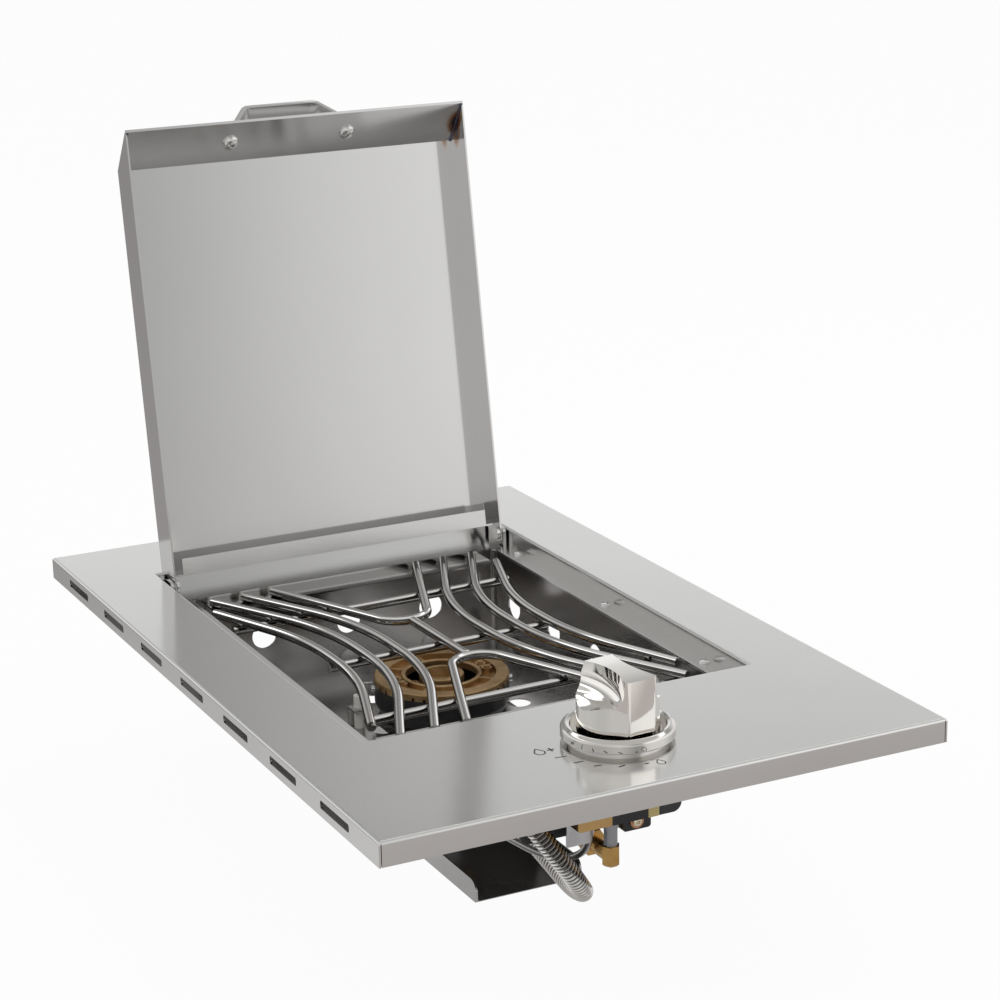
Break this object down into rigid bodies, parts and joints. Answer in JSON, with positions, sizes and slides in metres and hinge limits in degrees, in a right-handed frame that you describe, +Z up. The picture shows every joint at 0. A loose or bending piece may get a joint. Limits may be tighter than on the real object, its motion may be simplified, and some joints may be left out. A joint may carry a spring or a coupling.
{
  "type": "built in side burner",
  "caption": "Drop-in gas side burner for an outdoor kitchen: steel plate with a sunk rod grate over a brass burner, a hinged lid, a knob and the gas fittings below.",
  "frame": {"origin": "middle of the plate's footprint on the counter, at the underside of its flange", "axes": "+X to the right along the front edge, +Y to the back, +Z up out of the counter"},
  "size_m": [0.368, 0.571, 0.4609],
  "materials": {
    "brushed_plate": "brushed along X, satin",
    "brushed_lid": "brushed along the height, satin",
    "tub_steel": "smooth mill finish",
    "grate_rod": "polished rod",
    "screw_steel": "polished",
    "black_iron": "black enamel",
    "cast_brass": "cast, matt",
    "machined_brass": "turned, bright",
    "ceramic_white": "glazed ceramic",
    "chrome_trim": "polished nickel",
    "black_paint": "black paint",
    "zinc_yellow": "yellow zinc plate",
    "zinc_grey": "grey zinc plate",
    "black_plastic": "moulded",
    "lead_braid": "braided sleeve",
    "hose_steel": "corrugated stainless",
    "tray_steel": "dark inside, bright outside"
  },
  "bodies": {
    "frame": {"bowl_side_screws": "screw_steel", "burner_bowl": "black_iron", "burner_head": "cast_brass", "burner_hub": "cast_brass", "burner_inlet": "machined_brass", "burner_posts": "cast_brass", "burner_tub": "tub_steel", "flexible_hose": "hose_steel", "gas_valve_body": "machined_brass", "grate_centre_rod": "grate_rod", "grate_cross_rods": "grate_rod", "grate_outer_rods": "grate_rod", "grate_rest_front": "tub_steel", "grate_rest_rear": "tub_steel", "grate_second_rods": "grate_rod", "grate_third_rods": "grate_rod", "grate_v_rods": "grate_rod", "head_screws": "cast_brass", "heat_tray": "tray_steel", "hinge_tab_left": "tub_steel", "hinge_tab_right": "tub_steel", "hose_nut_burner": "machined_brass", "hose_nut_valve": "machined_brass", "igniter_bracket": "tub_steel", "igniter_ceramic": "ceramic_white", "igniter_lead": "lead_braid", "igniter_wire": "screw_steel", "inlet_elbow": "machined_brass", "inlet_nut": "machined_brass", "inlet_pipe": "zinc_grey", "knob_bezel": "chrome_trim", "module_clip": "zinc_grey", "piezo_module": "black_plastic", "pivot_bolts": "screw_steel", "top_plate": "brushed_plate", "tray_screws": "screw_steel", "tub_ledge_screws": "screw_steel", "valve_bonnet": "machined_brass", "valve_bracket": "black_paint", "valve_screws": "zinc_yellow"},
    "lid": {"lid_shell": "brushed_lid", "lid_handle": "brushed_lid", "handle_screws": "screw_steel"},
    "plug": {"valve_plug": "machined_brass"},
    "knob": {"knob": "chrome_trim", "valve_spindle": "screw_steel"}
  },
  "joints": [
    {"name": "lid_hinge", "type": "hinge", "parent": "frame", "child": "lid", "pos_m": [0, 0.19, 0.011], "axis": [1, 0, 0], "range_deg": [0, 99.4]},
    {"name": "knob_turn", "type": "hinge", "parent": "frame", "child": "plug", "pos_m": [0, -0.2165, 0], "axis": [0, 0, 1], "range_deg": [-5, 180]},
    {"name": "knob_push", "type": "slide", "parent": "plug", "child": "knob", "axis": [0, 0, -1], "range_m": [0, 0.004], "stiffness_N_per_m": 500, "springref_m": -0.004}
  ]
}
